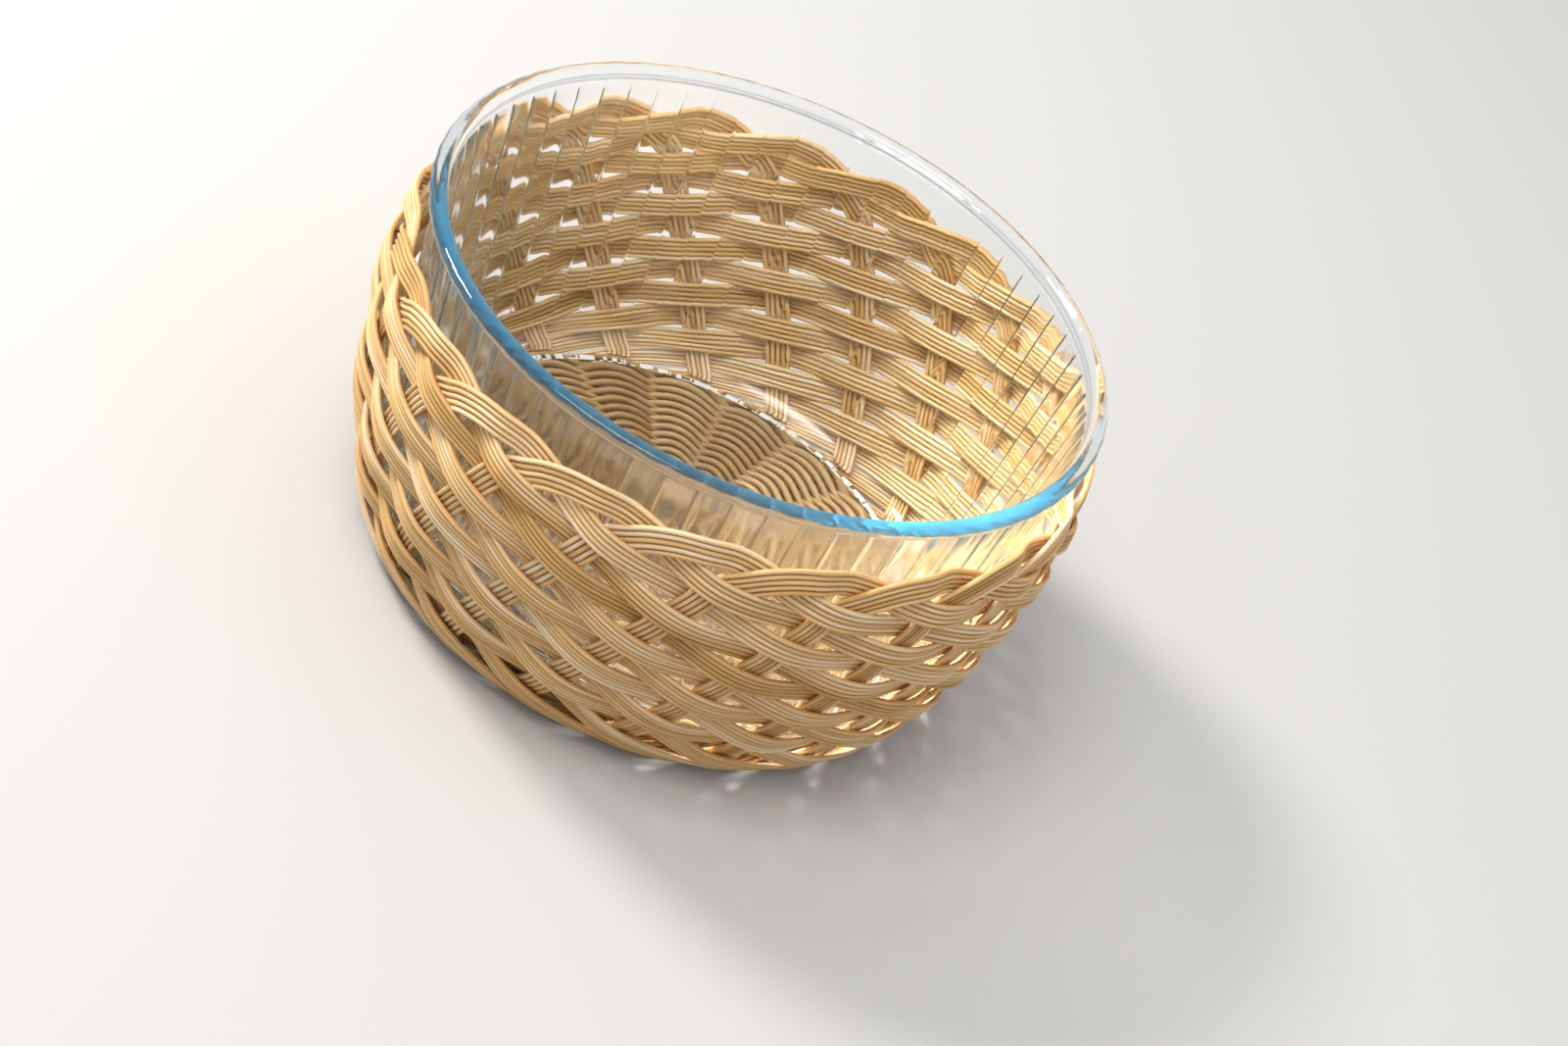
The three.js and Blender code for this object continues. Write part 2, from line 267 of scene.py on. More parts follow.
# %% The faces of a rod
def rod_faces(start, rings, sides, closed):
    """The faces of a rod whose points are counted from start, ring after ring."""
    rows = np.arange(rings if closed else rings - 1)
    row, column = np.meshgrid(rows, np.arange(sides), indexing="ij")
    after, right = (row + 1) % rings, (column + 1) % sides
    near, far = row * sides, after * sides
    quads = np.stack([near + column, near + right, far + right, far + column], -1)
    faces = (quads.reshape(-1, 4) + start).tolist()
    if not closed:
        faces.append([start + k for k in range(sides - 1, -1, -1)])
        faces.append([start + (rings - 1) * sides + k for k in range(sides)])
    return faces


print("a rod of four rings has", len(rod_faces(0, 4, 8, closed=False)), "faces")

# %% [markdown]
# ## Rods
# A rod is a round section carried along its path. A curve with a round bevel gives the same
# shape with operators alone, but it forgets where each point lies along the rod, and the grain
# of the cane has to follow the rod round every bend. So the rings are joined in code, and every
# point keeps three attributes: the grain, its place along and across the rod, the tone, one
# number for the whole rod, and the flank, which is 1 on the sides, where rods touch, and 0 on
# top, and which places the painted shade between rods. The rods of one strand share one mesh,
# because they ride and are named as one strand.

# %% Rods
class Rods:
    """Gathers round rods into one piece."""

    def __init__(self, sides=8):
        self.sides = sides
        self.places, self.faces, self.grain, self.tone, self.flank = [], [], [], [], []
        self.count = 0

    def add(self, points, up, radius, closed=False, tone=None):
        """Adds a rod along a path. The radius is one number, or one for each point."""
        _, side, top = directions(points, up, closed)
        radius = np.broadcast_to(radius, len(points))[:, None]
        angle = 2 * math.pi * np.arange(self.sides) / self.sides
        c, s = np.cos(angle), np.sin(angle)
        spoke = c[None, :, None] * side[:, None] + s[None, :, None] * top[:, None]
        self.places.append((points[:, None] + radius[:, :, None] * spoke).reshape(-1, 3))
        shift = rng.uniform(0, 3)
        grain = np.empty((len(points), self.sides, 3))
        grain[:, :, 0] = lengths(points)[:, None] + shift
        grain[:, :, 1] = radius * c + shift
        grain[:, :, 2] = radius * s + 2 * shift
        self.grain.append(grain.reshape(-1, 3))
        points_here = len(points) * self.sides
        self.tone.append(np.full(points_here, rng.uniform() if tone is None else tone))
        self.flank.append(np.tile(np.abs(c), len(points)))
        self.faces += rod_faces(self.count, len(points), self.sides, closed)
        self.count += points_here

    def finish(self, name, material, node):
        """Makes the piece, hides the node that it replaces and says that it rides on the holder."""
        mesh = bpy.data.meshes.new(name)
        mesh.from_pydata(np.vstack(self.places).tolist(), [], self.faces)
        grain = mesh.attributes.new("grain", "FLOAT_VECTOR", "POINT")
        grain.data.foreach_set("vector", np.vstack(self.grain).astype(np.float32).ravel())
        for key, values in (("tone", self.tone), ("flank", self.flank)):
            attribute = mesh.attributes.new(key, "FLOAT", "POINT")
            attribute.data.foreach_set("value", np.concatenate(values).astype(np.float32))
        mesh.polygons.foreach_set("use_smooth", np.ones(len(mesh.polygons), bool))
        mesh.materials.append(material)
        piece = bpy.data.objects.new(name, mesh)
        bpy.context.collection.objects.link(piece)
        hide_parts(node)
        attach(piece, "holder")


print("a rod's section has", Rods().sides, "sides")

# %% [markdown]
# ## Shader maths
# A material is a graph of nodes, and sums of nodes are tedious to wire by hand. The class Value
# wraps a socket and lets Python's own signs add the Math nodes, so a material reads like a
# formula. The reflected forms let a plain number come first, as in 1 - mask.

# %% Values in a material
class Value:
    """A socket that can be used in sums and products."""

    def __init__(self, shader, socket):
        self.shader, self.socket = shader, socket

    def math(self, operation, *others):
        sockets = {0: self, **{k + 1: other for k, other in enumerate(others)}}
        return self.shader.node("ShaderNodeMath", sockets, operation=operation)[0]

    def __add__(self, other):
        return self.math("ADD", other)

    def __sub__(self, other):
        return self.math("SUBTRACT", other)

    def __rsub__(self, other):
        return (self * -1).math("ADD", other)

    def __mul__(self, other):
        return self.math("MULTIPLY", other)

    __radd__ = __add__
    __rmul__ = __mul__


print("a Value can be used in a sum, a difference or a product")

# %% [markdown]
# ## Nodes
# The class Shader holds a material and makes every node with one method. A node's settings come
# first, because some of them decide which sockets it has, then the stops of a ramp, and last
# the values or links of its sockets. Wiring each node by hand would take four lines where this
# takes one.

# %% Nodes of a material
class Shader:
    """A material and the one method that makes its nodes."""

    def __init__(self, name):
        self.material = bpy.data.materials.new(name)
        self.material.use_nodes = True
        self.tree = self.material.node_tree
        self.surface = self.tree.nodes["Principled BSDF"]
        self.output = self.tree.nodes["Material Output"]

    def node(self, kind, sockets=None, stops=None, **settings):
        made = self.tree.nodes.new(kind)
        for key, value in settings.items():
            setattr(made, key, value)
        if stops:
            ramp = made.color_ramp
            while len(ramp.elements) < len(stops):
                ramp.elements.new(0.5)
            for element, (place, colour) in zip(ramp.elements, stops):
                element.position, element.color = place, (*colour, 1)
        for key, value in (sockets or {}).items():
            self.plug(made.inputs[key], value)
        return [Value(self, socket) for socket in made.outputs]

    def plug(self, socket, value):
        if isinstance(value, Value):
            self.tree.links.new(value.socket, socket)
        else:
            socket.default_value = value

    def set(self, **sockets):
        for key, value in sockets.items():
            self.plug(self.surface.inputs[key.replace("_", " ")], value)


print("a Shader makes nodes, plugs values into them and sets the main surface")

# %% [markdown]
# ## Cane
# Peeled cane is pale straw with fine lengthwise fibres, slow changes of tone along each rod and a
# soft sheen. Where two rods touch, the creases get painted shade: darker colour where shade falls
# between rods. Noise on the object's own coordinates would run straight through the bends like a
# sawn block. The noise here reads the grain attribute, squeezed along the rod, so it draws long
# fibres that follow every bend. Tone, slow patches and fibres add up to one number, and a ramp
# turns that number into a straw colour. The flank attribute paints that shade into the creases.
# The base is browner than the wall in the photograph, so its cane has a ramp of its own, which is
# darker: partly the base's own colour and partly painted shade for the weaker light inside the
# dish.

# %% Cane materials
FIBRE_SCALE = (70, 3200, 3200)
PATCH_SCALE = (26, 40, 40)
WALL_TONES = [
    (0.1, (0.90, 0.77, 0.55)), (0.4, (0.80, 0.55, 0.265)), (0.65, (0.68, 0.41, 0.145)),
    (0.95, (0.44, 0.25, 0.07)),
]
# The base's ramp is darker than the wall's: partly the base's own colour, partly painted shade.
BASE_TONES_WITH_SHADE = [(0.1, (0.42, 0.27, 0.11)), (0.5, (0.355, 0.21, 0.08)), (0.9, (0.27, 0.15, 0.05))]


def cane(name, tones, crease_shade):
    shader = Shader(name)
    grain = shader.node("ShaderNodeAttribute", attribute_name="grain")[1]
    tone = shader.node("ShaderNodeAttribute", attribute_name="tone")[2]
    flank = shader.node("ShaderNodeAttribute", attribute_name="flank")[2]
    long_grain = shader.node("ShaderNodeVectorMath", {0: grain, 1: FIBRE_SCALE}, operation="MULTIPLY")[0]
    fibres = shader.node("ShaderNodeTexNoise", {"Vector": long_grain, "Scale": 1.0, "Detail": 3.0})[0]
    slow_grain = shader.node("ShaderNodeVectorMath", {0: grain, 1: PATCH_SCALE}, operation="MULTIPLY")[0]
    patches = shader.node("ShaderNodeTexNoise", {"Vector": slow_grain, "Scale": 1.0, "Detail": 2.0})[0]
    shade = tone * 0.75 + patches * 0.45 + (fibres - 0.5) * 0.75 - 0.1
    colour = shader.node("ShaderNodeValToRGB", {0: shade}, stops=tones)[0]
    # Painted shade: the flanks of each rod, where rods touch, are darkened towards the crease colour.
    depth = shader.node("ShaderNodeMapRange", {0: flank, 1: 0.5, 2: 1.0, 3: 0.0, 4: 0.65})[0]
    shaded_colour = shader.node("ShaderNodeMix", {0: depth, 6: colour, 7: (*crease_shade, 1)},
                          data_type="RGBA", blend_type="MULTIPLY")[2]
    bump = shader.node("ShaderNodeBump", {"Height": fibres, "Strength": 0.35, "Distance": 0.0002})[0]
    shader.set(Base_Color=shaded_colour, Roughness=fibres * 0.2 + 0.38, Normal=bump, Specular_IOR_Level=0.4)
    return shader.material


wall_cane = cane("wall_cane", WALL_TONES, crease_shade=(0.50, 0.29, 0.11))
base_cane = cane("base_cane", BASE_TONES_WITH_SHADE, crease_shade=(0.5, 0.33, 0.18))
print("materials:", wall_cane.name, "and", base_cane.name)

# %% [markdown]
# ## Where a strand starts
# The strands of the real holder grow out of its base, one at the end of every spoke. So each
# strand begins with three points at the level of the woven base, just past the last round of the
# weavers, with its outer side facing down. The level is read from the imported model. The angle of
# the first spoke follows from the slant of the rising strands, so that the two meet without a
# kink. The four numbers of a start are the radius, the height over the base's level, and how far
# the strand's outer side faces out and up.

# %% Where a strand starts
SLANT = 0.115
LAST_CROSSING = ROWS - 2
FIRST_STICK = -SLANT * (ROWS - 1.25) * COLUMN
base_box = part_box("base_weaver_a")
BASE_LEVEL = (base_box[0][2] + base_box[1][2]) / 2
STRAND_START = [
    (0.0925, -0.0001, 0, -1), (0.0932, 0.0003, 0.35, -0.94), (0.0940, 0.0009, 0.6, -0.8),
]
print("the woven base lies", round(BASE_LEVEL, 4), "m above the ground")

# %% [markdown]
# ## A strand's route
# A strand rises from the base on the inside of the wall, turns over in an arch at the top, dives
# under its neighbour and then runs slowly down round the wall, over one rising strand and under
# the next, until its end lies flat under the foot. All strands are alike, so one route is worked
# out and then turned. The rising and the falling stretch are formulas in columns and rows. The
# arch is a short list of places, because its flat crown and its quick dive behind the next arch
# follow no simple curve. The third number of each place says how far it lies outside the mean
# surface, in lifts.

# %% The route of one strand
ARCH = [
    (-0.26, 2.35, -0.2), (-0.19, 2.05, -0.25), (-0.06, 1.66, -0.05), (0.11, 1.14, 0.5), (0.32, 0.8, 0.65),
    (0.57, 0.67, 0.45), (0.84, 0.76, -0.75), (1.08, 1.05, -1), (1.29, 1.4, -0.8), (1.49, 1.68, -0.05),
    (1.66, 1.89, 0.65),
]
WALL_SCALE = np.array([COLUMN * RIM_RADIUS, 0.0077, 1])


def wall_route():
    """Columns, rows and metres out of the wall: up on the inside, over the arch and down."""
    rows = np.arange(LAST_CROSSING + 0.6, 2.7, -0.35)
    rising = np.stack([-SLANT * rows, rows, -0.15 * LIFT * np.cos(math.pi * rows)], 1)
    rising[:2, 2] = (-0.32 * LIFT, -0.2 * LIFT)
    last = LAST_CROSSING * (1 - SLANT)
    columns = np.arange(1.8, last + 2.3 * (1 - SLANT), 0.09)
    swing = np.where(columns < last, np.cos(math.pi * columns / (1 - SLANT)), 1)
    falling = np.stack([columns, columns / (1 - SLANT), 0.96 * LIFT * swing], 1)
    return np.vstack([rising, np.array(ARCH) * (1, 1, LIFT), falling])


def strand_path():
    """The middle of a strand, and its outward direction, from the base to the end under the foot."""
    route = smooth_path(wall_route() * WALL_SCALE, 0.0011) / WALL_SCALE
    points, up = on_wall(*route.T)
    c, s = math.cos(FIRST_STICK), math.sin(FIRST_STICK)
    start = [(radius * c, radius * s, BASE_LEVEL + height) for radius, height, _, _ in STRAND_START]
    start_up = np.array([(out * c, out * s, rise) for _, _, out, rise in STRAND_START])
    return np.vstack([start, points]), np.vstack([unit(start_up), up])


centre_line, centre_up = strand_path()
_, side, top = directions(centre_line, centre_up)
strand_length = lengths(centre_line)
print("a strand has", len(centre_line), "stations and is", round(strand_length[-1], 3), "m long")

# %% [markdown]
# ## The plaited wall
# Each strand is five rods laid side by side, like a flat ribbon. They fan out a little where the
# arch bends them. In the CAD model a strand is one closed band, which keeps the plait simple to
# collide with. Here the five rods are swept one by one, each with its own small waves, thickness
# and tone, and no rod sinks into the ground under the foot. Copies of one strand would repeat
# the same irregularities twenty times, so every strand is made afresh from the same route.

# %% The twenty strands
WALL_ROD = 0.00168
ROD_SPACING = 0.0017
fan = np.interp(strand_length, (0.01, 0.02, 0.08, 0.1, 0.12, 0.145), (1, 1.04, 1.05, 1.1, 1.05, 1))


def strand_rod(place):
    """The path and radius of one rod of a strand. Its place is -2 to 2 across the strand."""
    width = fan + wander(strand_length, 0.02, 0.03, 0.09)
    across = place * ROD_SPACING * width + wander(strand_length, 0.00004, 0.02, 0.06)
    out = wander(strand_length, 0.00011, 0.015, 0.06)
    points = centre_line + side * across[:, None] + top * out[:, None]
    radius = 0.5 * WALL_ROD * rng.uniform(0.95, 1.03) * (1 + wander(strand_length, 0.03, 0.02, 0.08))
    points[:, 2] = np.maximum(points[:, 2], radius)
    return points, radius


for number in range(1, STRANDS + 1):
    turn = turned((number - 1) * COLUMN).T
    strand_tone = rng.uniform(-0.12, 0.12)
    rods = Rods()
    for place in range(-2, 3):
        points, radius = strand_rod(place)
        tone = np.clip(rng.uniform(0.18, 0.82) + strand_tone, 0, 1)
        rods.add(points @ turn, top @ turn, radius, tone=tone)
    rods.finish(f"plait_strand_{number:02d}", wall_cane, f"wall_strand_{number:02d}")
print("strands:", STRANDS, "with", rods.count, "points each")

# %% [markdown]
# ## The sticks of the base
# A round woven base starts with sticks. Five of them cross five others in the middle, one layer
# over the other, and then they fan out to twenty spokes, one for each strand of the wall. A
# stick could be a cylinder that is bent in edit mode. A smooth path through a few places is
# shorter, and it gives the stick the same grain attribute as the other rods.

# %% The sticks
STICK = 0.0024
CROSS_SPACING = 0.00275
CROSS_LEVEL = STICK / 2 + 0.000175
STICK_END = 0.0912


def stick_path(place, level):
    """One stick through the cross, from end to end. Its place is -2 to 2 across its arm."""
    offset = place * CROSS_SPACING
    outward = np.array([math.cos(place * COLUMN), math.sin(place * COLUMN), 0])
    half = np.array([outward * STICK_END, outward * 0.06, outward * 0.024, (0.017, offset, 0),
                     (0.0122, offset, level * 0.7), (0.0076, offset, level)])
    return smooth_path(np.vstack([half, (0, offset, level), (half * (-1, 1, 1))[::-1]]), 0.002)


def upwards(points):
    return np.tile((0, 0, 1.0), (len(points), 1))


for arm, layer in ((0, 1), (1, -1)):
    for place in range(-2, 3):
        turn = turned(FIRST_STICK + arm * math.pi / 2).T
        points = stick_path(place, CROSS_LEVEL * layer) @ turn + (0, 0, BASE_LEVEL)
        number = arm * 5 + place + 3
        rods = Rods(sides=10)
        rods.add(points, upwards(points), STICK / 2 * 0.99)
        rods.finish(f"spoke_{number:02d}", base_cane, f"base_stick_{number:02d}")
print("the last stick is", round(lengths(points)[-1], 3), "m long")

# %% [markdown]
# ## The binding of the cross
# Three rounds of binding tie the cross before the sticks are fanned out. Each round passes over
# one arm and under the next, and neighbouring rounds alternate. A cosine with two waves a turn
# gives that rhythm. The hyperbolic tangent flattens its crests, because the binding lies flat on
# the five sticks of an arm and dips quickly between the arms.

# %% The binding
WEAVER = 0.0025
PASS = STICK / 2 + WEAVER / 2
LOOSENESS = 1.12
for ring, radius in enumerate((0.0132, 0.0168, 0.0204)):
    angle = np.linspace(0, 2 * math.pi, 160, endpoint=False)
    swing = np.cos(2 * angle) * (-1 if ring % 2 else 1)
    swing = np.tanh(2.5 * swing) / math.tanh(2.5)
    points = np.stack([radius * np.cos(angle + FIRST_STICK), radius * np.sin(angle + FIRST_STICK),
                       BASE_LEVEL + swing * PASS * LOOSENESS], 1)
    rods = Rods()
    rods.add(points, upwards(points), WEAVER / 2, closed=True)
    rods.finish(f"binding_{ring + 1}", base_cane, f"slath_binder_{ring + 1}")
print("the binding passes", round(PASS * LOOSENESS, 5), "m over and under the sticks")

# %% [markdown]
# ## The pairing weavers
# Two weavers then run round and round together, out to the edge of the base. At every spoke one
# passes over and the other under, and between the spokes they twist about each other. That
# twist gives the base its slanting ribs, so a plain up and down wave isn't enough. Each weaver
# is a spiral with a second, sideways wave a quarter step behind the first one.

# %% The weavers
PITCH = 0.00418
WEAVE_START, WEAVE_END = 0.0245, 0.0895
SWAY = 0.0011
LEAN = 0.0008
STEP_LENGTH = 0.018
for name, node, half_turn in (("weaver_a", "base_weaver_a", 0), ("weaver_b", "base_weaver_b", 1)):
    steps = np.arange(0, (WEAVE_END - WEAVE_START) / PITCH * STRANDS, 1 / 8)
    twist = math.pi * (steps + half_turn)
    radius = WEAVE_START + PITCH * steps / STRANDS + SWAY * np.sin(twist)
    angle = FIRST_STICK + steps * COLUMN
    level = BASE_LEVEL + PASS * np.cos(twist) + LEAN * np.sin(twist)
    points = np.stack([radius * np.cos(angle), radius * np.sin(angle), level], 1)
    rods = Rods()
    thickness = WEAVER / 2 * (0.98 + wander(steps * STEP_LENGTH, 0.03, 0.02, 0.1))
    rods.add(points, upwards(points), thickness)
    rods.finish(name, base_cane, node)
print("a weaver makes", round(steps[-1] / STRANDS, 1), "rounds")
print("a weaver is", round(lengths(points)[-1], 2), "m long")

# %% [markdown]
# ## The dish's section
# The dish is pressed glass: a floor that stands on a low bearing ring, a rounded corner, a
# tapering wall, a plain collar and a rolled bead that is wider than it is high. The whole
# section is drawn as one line, from the middle of the underside out, up, over the bead and back
# to the middle of the floor inside. It could be extruded stretch by stretch in edit mode, but
# written as points it can be read off. Round stretches are arcs with enough points to look round
# through glass, which bends light at every facet. A few extra points beside the bearing ring
# and under the bead keep the smoothed normals from spreading a sharp change over a flat part.

# %% The section of the dish
def arc(centre, radius, start, end, steps):
    """Points on an arc. The angle is zero straight down and grows outwards."""
    angles = np.linspace(start, end, steps)
    return [(centre[0] + radius * math.sin(a), centre[1] - radius * math.cos(a)) for a in angles]


def straight(first, last, steps):
    return [tuple(point) for point in np.linspace(first, last, steps + 1)[1:]]


INSIDE = DISH_BOTTOM + GLASS_FLOOR
CORNER_AT = DISH_BASE - DISH_CORNER
INNER_CORNER = 0.0095
UNDERSIDE = DISH_BOTTOM + 0.0004
bearing_ring = [
    (-0.012, UNDERSIDE), (-0.0095, UNDERSIDE - 0.00003), (-0.007, UNDERSIDE - 0.00012),
    (-0.005, UNDERSIDE - 0.00026), (-0.0035, DISH_BOTTOM + 0.00004), (-0.0026, DISH_BOTTOM),
    (-0.0006, DISH_BOTTOM),
]
section = [(0.0, UNDERSIDE), (0.03, UNDERSIDE), (0.06, UNDERSIDE)]
section += [(CORNER_AT + out, level) for out, level in bearing_ring]
section += arc((CORNER_AT, CORNER_LEVEL), DISH_CORNER, 0, math.pi / 2, 13)
section += straight(section[-1], (COLLAR, FLUTE_TOP), 13)
section += [(COLLAR, BEAD_LEVEL - 0.0045), (COLLAR + 0.0002, BEAD_LEVEL - 0.0034)]
section += [(COLLAR + 0.0009, BEAD_LEVEL - 0.0027)]
section += arc((RIM_RADIUS, BEAD_LEVEL), BEAD_RADIUS, math.radians(25), math.pi, 10)
bead_inside = RIM_RADIUS - (BEAD_WIDTH - 2 * BEAD_RADIUS)
MOUTH = bead_inside - BEAD_RADIUS
section += arc((bead_inside, BEAD_LEVEL), BEAD_RADIUS, math.pi, 1.5 * math.pi, 6)
section += [(MOUTH - 0.0001, BEAD_LEVEL - 0.002), (MOUTH - 0.0006, BEAD_LEVEL - 0.0045)]
section += [(MOUTH - 0.00135, BEAD_LEVEL - 0.0075)]
inside_top = (COLLAR - GLASS_WALL, BEAD_LEVEL - 0.0105)
section += straight(inside_top, (DISH_BASE - GLASS_WALL, INSIDE + INNER_CORNER), 11)
section += arc((CORNER_AT, INSIDE + INNER_CORNER), INNER_CORNER, math.pi / 2, 0, 11)[1:]
section += [(CORNER_AT - 0.0005, INSIDE), (0.06, INSIDE), (0.03, INSIDE), (0.0, INSIDE)]
print("points in the section:", len(section))

# %% [markdown]
# ## Spinning the section
# Turning a section about an axis is a lathe's work. The spin operator does it in edit mode, but
# with hundreds of steps it takes far too long. A screw modifier without any rise makes the same
# body at once, and it closes the two poles when it merges the points there. It takes ten steps
# for each of the 64 flutes. The normals are recalculated afterwards, so that they point
# outwards all over, which glass needs.

# %% The body of the dish
FLUTES = 64
STEPS_PER_FLUTE = 10
mesh = bpy.data.meshes.new("dish")
mesh.from_pydata([(r, 0, z) for r, z in section], [(k, k + 1) for k in range(len(section) - 1)], [])
dish = bpy.data.objects.new("dish", mesh)
bpy.context.collection.objects.link(dish)
bpy.ops.object.select_all(action="DESELECT")
bpy.context.view_layer.objects.active = dish
dish.select_set(True)
bpy.ops.object.modifier_add(type="SCREW")
screw = dish.modifiers[0]
screw.steps = screw.render_steps = STEPS_PER_FLUTE * FLUTES
screw.use_merge_vertices, screw.merge_threshold = True, 0.000002
bpy.ops.object.modifier_apply(modifier=screw.name)
bpy.ops.object.mode_set(mode="EDIT")
bpy.ops.mesh.select_all(action="SELECT")
bpy.ops.mesh.normals_make_consistent(inside=False)
bpy.ops.object.mode_set(mode="OBJECT")
dish.data.polygons.foreach_set("use_smooth", np.ones(len(dish.data.polygons), bool))
print("dish:", len(dish.data.vertices), "points,", len(dish.data.polygons), "faces")

# %% [markdown]
# ## Points near the seams
# From close by, the flutes of this dish are broad panels with a narrow pressed seam between
# them. Even steps round the dish would give each seam one point in ten, too few for a narrow
# groove, and more steps would make the mesh heavy where nothing happens. So the points are
# drawn together towards the nearest seam, and the panels between keep few.

# %% Points near the seams
places = np.empty(len(dish.data.vertices) * 3, np.float32)
dish.data.vertices.foreach_get("co", places)
places = places.reshape(-1, 3).astype(float)
radius = np.hypot(places[:, 0], places[:, 1])
height = places[:, 2]
turn = np.arctan2(places[:, 1], places[:, 0]) * FLUTES / (2 * math.pi)
seam = np.round(turn)
SEAM_STATIONS = (0, 0.035, 0.07, 0.11, 0.28, 0.5)
off = np.interp(np.abs(turn - seam), np.arange(6) / 10, SEAM_STATIONS)
angle = (seam + np.sign(turn - seam) * off) * 2 * math.pi / FLUTES
print("nearest points of a seam:", np.unique(off.round(3))[:4], "of a flute away")

# %% [markdown]
# ## Pressed seams
# The mould leaves a shallow groove down the side at each seam, deeper towards the top, with a
# notch where it ends in the collar. Above each seam a faint ripple runs into the bead, which is
# what breaks the blue of the rim. Every point is moved inwards by its own depth, all at once,
# because 64 seams by hand, or by repeated operators, would be slow.

# %% The seams
SEAM_DEPTHS = (0.00018, 0.00012, 0.00004, 0)
RIPPLE = 0.00012
share = (height - CORNER_LEVEL) / (FLUTE_TOP - CORNER_LEVEL)
on_side = (np.abs(radius - dish_side(height)) < 0.0006) & (share > -0.01) & (share < 0.99)
groove = np.interp(off, SEAM_STATIONS[:4], SEAM_DEPTHS) * np.interp(share, (0.5, 0.9), (1, 2.4))

on_rim = (radius > COLLAR - 0.0005) & (height > FLUTE_TOP - 0.0002)
over_bead = height - BEAD_LEVEL
notch = np.interp(over_bead, (-0.007, -0.0045, -0.003), (0.00038, 0.00018, 0)) * np.exp(-(off / 0.07) ** 2)
ripple = np.interp(over_bead, (-0.0035, -0.001, 0.0005, 0.002), (0, RIPPLE, RIPPLE, 0))
ripple *= 1 + np.cos(2 * math.pi * off)

depth = np.where(on_rim, notch + ripple, on_side * groove)
places[:, 0] = (radius - depth) * np.cos(angle)
places[:, 1] = (radius - depth) * np.sin(angle)
dish.data.vertices.foreach_set("co", places.astype(np.float32).ravel())
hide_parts("glass_dish")
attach(dish, "dish")
print("points that moved inwards:", int((depth > 0).sum()), "by at most", round(depth.max(), 5), "m")

# %% [markdown]
# ## Two finishes of the pressed surface
# The bearing ring is stippled, so that the dish doesn't slide: short rough patches, which show
# as a dashed white ring through the floor. The inside of the wall is smooth to the hand, but
# never optically flat, so what is far behind it blurs and what is close stays clear. Two
# materials on one glass body would break the colour inside it, because a ray that enters through
# one and leaves through the other never leaves the first one's volume. So the dish has one
# material, and each face carries two numbers: frost for the stipple, and soft for the wall.

# %% The finishes of the dish's surface
centres = np.empty(len(dish.data.polygons) * 3, np.float32)
dish.data.polygons.foreach_get("center", centres)
centres = centres.reshape(-1, 3)
level = centres[:, 2]
away = np.hypot(centres[:, 0], centres[:, 1])
on_ring = (away > CORNER_AT - 0.0006) & (away < CORNER_AT + 0.0024) & (level < DISH_BOTTOM + 0.0006)
frost = on_ring & (rng.uniform(size=len(away)) < 0.6)
inner_side = (away < MOUTH) & (np.abs(away - dish_side(level) + GLASS_WALL) < 0.0025)
soft = inner_side * np.interp(level - BEAD_LEVEL, (-0.03, -0.011), (0.09, 0.11))
for key, values in (("frost", frost), ("soft", soft)):
    dish.data.attributes.new(key, "FLOAT", "FACE").data.foreach_set("value", values.astype(np.float32))
print("stippled faces:", int(frost.sum()), "softened faces:", int((soft > 0).sum()))

# %% [markdown]
# ## Glass
# The glass takes away much red and a little green along the way. A look straight through the
# wall stays clear, but light that has run up inside the wall and leaves at the bead comes out
# blue, as in the photograph. A tinted surface would colour the whole dish, so the tint is in the
# volume. Glass also throws a shadow that is far too dark in a path tracer, because a shadow ray
# can't bend. For shadow rays the surface is therefore almost clear.

# %% The glass
GLASS_TINT = (0.0, 0.68, 0.88, 1)
TINT_DENSITY = 7.5
glass = Shader("clear_glass")
frost = glass.node("ShaderNodeAttribute", attribute_name="frost")[2]
soft = glass.node("ShaderNodeAttribute", attribute_name="soft")[2]
glass.set(Base_Color=(1, 1, 1, 1), Roughness=soft, IOR=1.47, Transmission_Weight=1.0)
polished = Value(glass, glass.surface.outputs[0])
white = glass.node("ShaderNodeBsdfDiffuse", {"Color": (0.95, 0.95, 0.95, 1)})[0]
surface = glass.node("ShaderNodeMixShader", {0: frost * 0.8, 1: polished, 2: white})[0]
shadow_ray = glass.node("ShaderNodeLightPath")[1]
see_through = glass.node("ShaderNodeBsdfTransparent", {"Color": (0.98, 0.98, 0.98, 1)})[0]
surface = glass.node("ShaderNodeMixShader", {0: shadow_ray, 1: surface, 2: see_through})[0]
glass.plug(glass.output.inputs["Surface"], surface)
tint = glass.node("ShaderNodeVolumeAbsorption", {"Color": GLASS_TINT, "Density": TINT_DENSITY})[0]
glass.plug(glass.output.inputs["Volume"], tint)
dish.data.materials.append(glass.material)
print("the dish's material is", glass.material.name)

# %% [markdown]
# ## The floor
# The photograph's background is nearly white. A white floor under strong light would get there,
# but it would also throw white light back onto the cane from below and wash it out. So the floor
# is pale for the rays that look at it, straight or through glass, and darker for the light that
# it gives back. It still shows the holder's shadow.

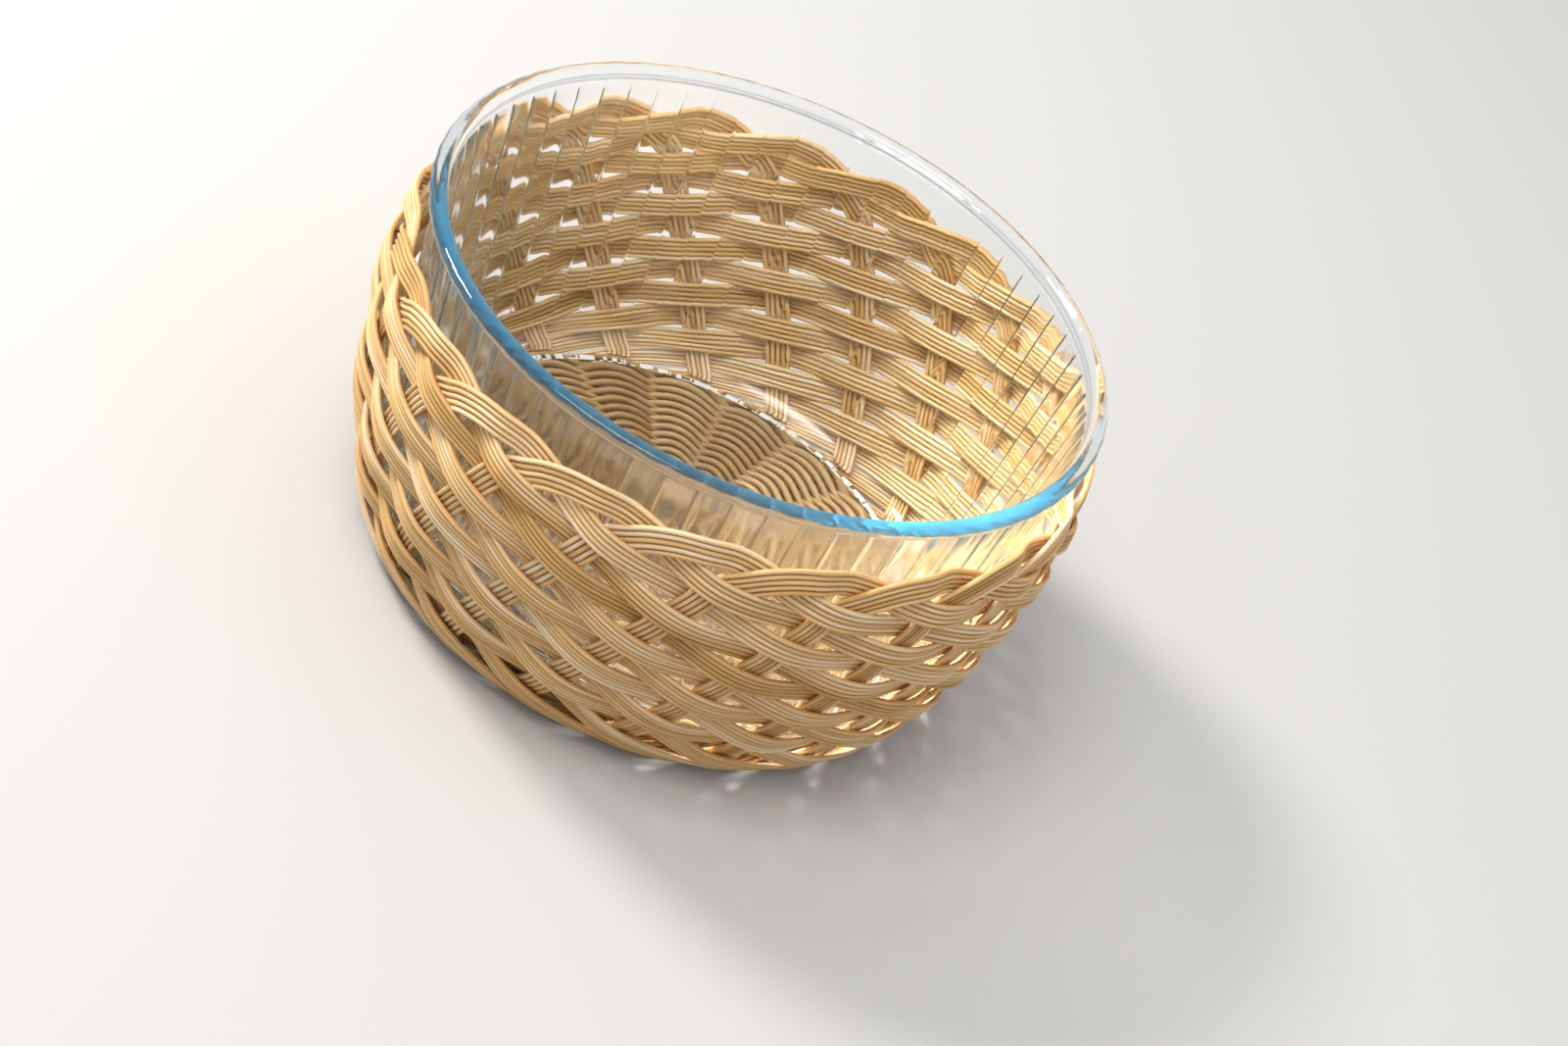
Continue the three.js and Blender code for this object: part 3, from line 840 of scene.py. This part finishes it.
# %% The floor
FLOOR_SEEN = (0.5, 0.5, 0.5, 1)
FLOOR_GIVEN_BACK = (0.25, 0.25, 0.25, 1)
bpy.ops.mesh.primitive_plane_add(size=12, location=(0, 0, 0))
floor = bpy.context.active_object
floor.name = "floor"
plain = Shader("plain_floor")
plain.set(Base_Color=FLOOR_SEEN, Roughness=0.9, Specular_IOR_Level=0.1)
bright = Value(plain, plain.surface.outputs[0])
dim = plain.node("ShaderNodeBsdfDiffuse", {"Color": FLOOR_GIVEN_BACK})[0]
path = plain.node("ShaderNodeLightPath")
camera_ray, glossy_ray, transmission_ray = path[0], path[3], path[6]
seen = camera_ray.math("MAXIMUM", glossy_ray).math("MAXIMUM", transmission_ray)
mixed = plain.node("ShaderNodeMixShader", {0: seen, 1: dim, 2: bright})[0]
plain.plug(plain.output.inputs["Surface"], mixed)
floor.data.materials.append(plain.material)
print("the floor is bright for", [ray.socket.name for ray in (camera_ray, glossy_ray, transmission_ray)])

# %% [markdown]
# ## The sky
# The shadows of the photograph are soft and open, because light comes from all round. Lamps on
# every side would do that too, but each of them would show in the glass. An even pale sky fills
# the shadows and leaves the glass clean.

# %% The sky
SKY_STRENGTH = 0.78
world = bpy.data.worlds.new("sky")
bpy.context.scene.world = world
world.use_nodes = True
sky = world.node_tree.nodes["Background"].inputs
sky["Color"].default_value = (1, 1, 1, 1)
sky["Strength"].default_value = SKY_STRENGTH
print("strength of the sky:", SKY_STRENGTH)

# %% [markdown]
# ## Light
# The photograph is lit by daylight from the upper left. One soft round lamp stands there, small
# enough to give the rods a lit side and a shaded side. A larger, weaker one hangs over the
# holder and reaches the base inside the dish. Both are slightly warm. An area lamp shines along
# its own minus Z, so its axes are worked out from the direction in which it stands.

# %% Lamps
LAMP_DISTANCE = 1.6
LAMP_TARGET = (0, 0, 0.06)
DAYLIGHT = (1, 0.96, 0.9)


def lamp(name, direction, size, power):
    data = bpy.data.lights.new(name, "AREA")
    data.shape, data.size, data.energy, data.color = "DISK", size, power, DAYLIGHT
    light = bpy.data.objects.new(name, data)
    bpy.context.collection.objects.link(light)
    away = np.array(direction) / np.linalg.norm(direction)
    sideways = np.cross((0, 0, 1), away)
    sideways /= np.linalg.norm(sideways)
    pose = np.eye(4)
    pose[:3, 0], pose[:3, 1], pose[:3, 2] = sideways, np.cross(away, sideways), away
    pose[:3, 3] = away * LAMP_DISTANCE + LAMP_TARGET
    light.matrix_world = Matrix(pose.tolist())
    print(name, "lamp stands at", pose[:3, 3].round(2))


lamp("key", (0.74, -0.2, 0.62), size=0.4, power=27)
lamp("overhead", (0.25, 0.3, 0.92), size=0.8, power=12)

# %% [markdown]
# ## Camera
# The camera was fitted to the photograph, in which the rim, the bottom ring and the wall of the
# dish show the angle, the distance and the roll. It looks down at the holder and is rolled by
# more than a quarter of a right angle, so the holder leans in the picture although it stands
# upright. A camera can be aimed by hand until the picture looks right, but three angles, and
# the place of the rim's middle in the camera's view, can be read and changed one by one. That
# place is measured in rim radii, so it would still fit a holder of another size.

# %% The camera
AZIMUTH = math.radians(90.79)
ELEVATION = math.radians(36.1696)
ROLL = math.radians(26.5624)
RIM_IN_VIEW = np.array([-0.02063, 0.66586, -9.65880])
FOCAL_LENGTH, SENSOR_WIDTH = 78.75, 36
level_distance = math.cos(ELEVATION)
backwards = np.array([level_distance * math.cos(AZIMUTH), level_distance * math.sin(AZIMUTH),
                      math.sin(ELEVATION)])
level_right = np.array([-math.sin(AZIMUTH), math.cos(AZIMUTH), 0])
level_up = np.cross(backwards, level_right)
pose = np.eye(4)
pose[:3, 0] = math.cos(ROLL) * level_right + math.sin(ROLL) * level_up
pose[:3, 1] = math.cos(ROLL) * level_up - math.sin(ROLL) * level_right
pose[:3, 2] = backwards
pose[:3, 3] = pose[:3, :3] @ -(RIM_IN_VIEW * RIM_RADIUS) + (0, 0, BEAD_LEVEL)
camera_data = bpy.data.cameras.new("camera")
camera_data.lens, camera_data.sensor_width = FOCAL_LENGTH, SENSOR_WIDTH
camera = bpy.data.objects.new("camera", camera_data)
bpy.context.collection.objects.link(camera)
camera.matrix_world = Matrix(pose.tolist())
print("the camera stands at", pose[:3, 3].round(3))

# %% [markdown]
# ## Rendering glass
# A ray that enters the wall of the dish bounces inside it many times before it leaves at the
# bead. With few bounces those rays end black, and the rim turns dark, so the limits are raised.
# The Standard view shows a colour about as it is written, where other views soften it.

# %% Render settings
scene = bpy.context.scene
scene.camera = camera
scene.view_settings.view_transform = "Standard"
scene.cycles.max_bounces = 32
scene.cycles.diffuse_bounces = 12
scene.cycles.glossy_bounces = 32
scene.cycles.transmission_bounces = 32
print("view:", scene.view_settings.view_transform, "and bounces:", scene.cycles.max_bounces)
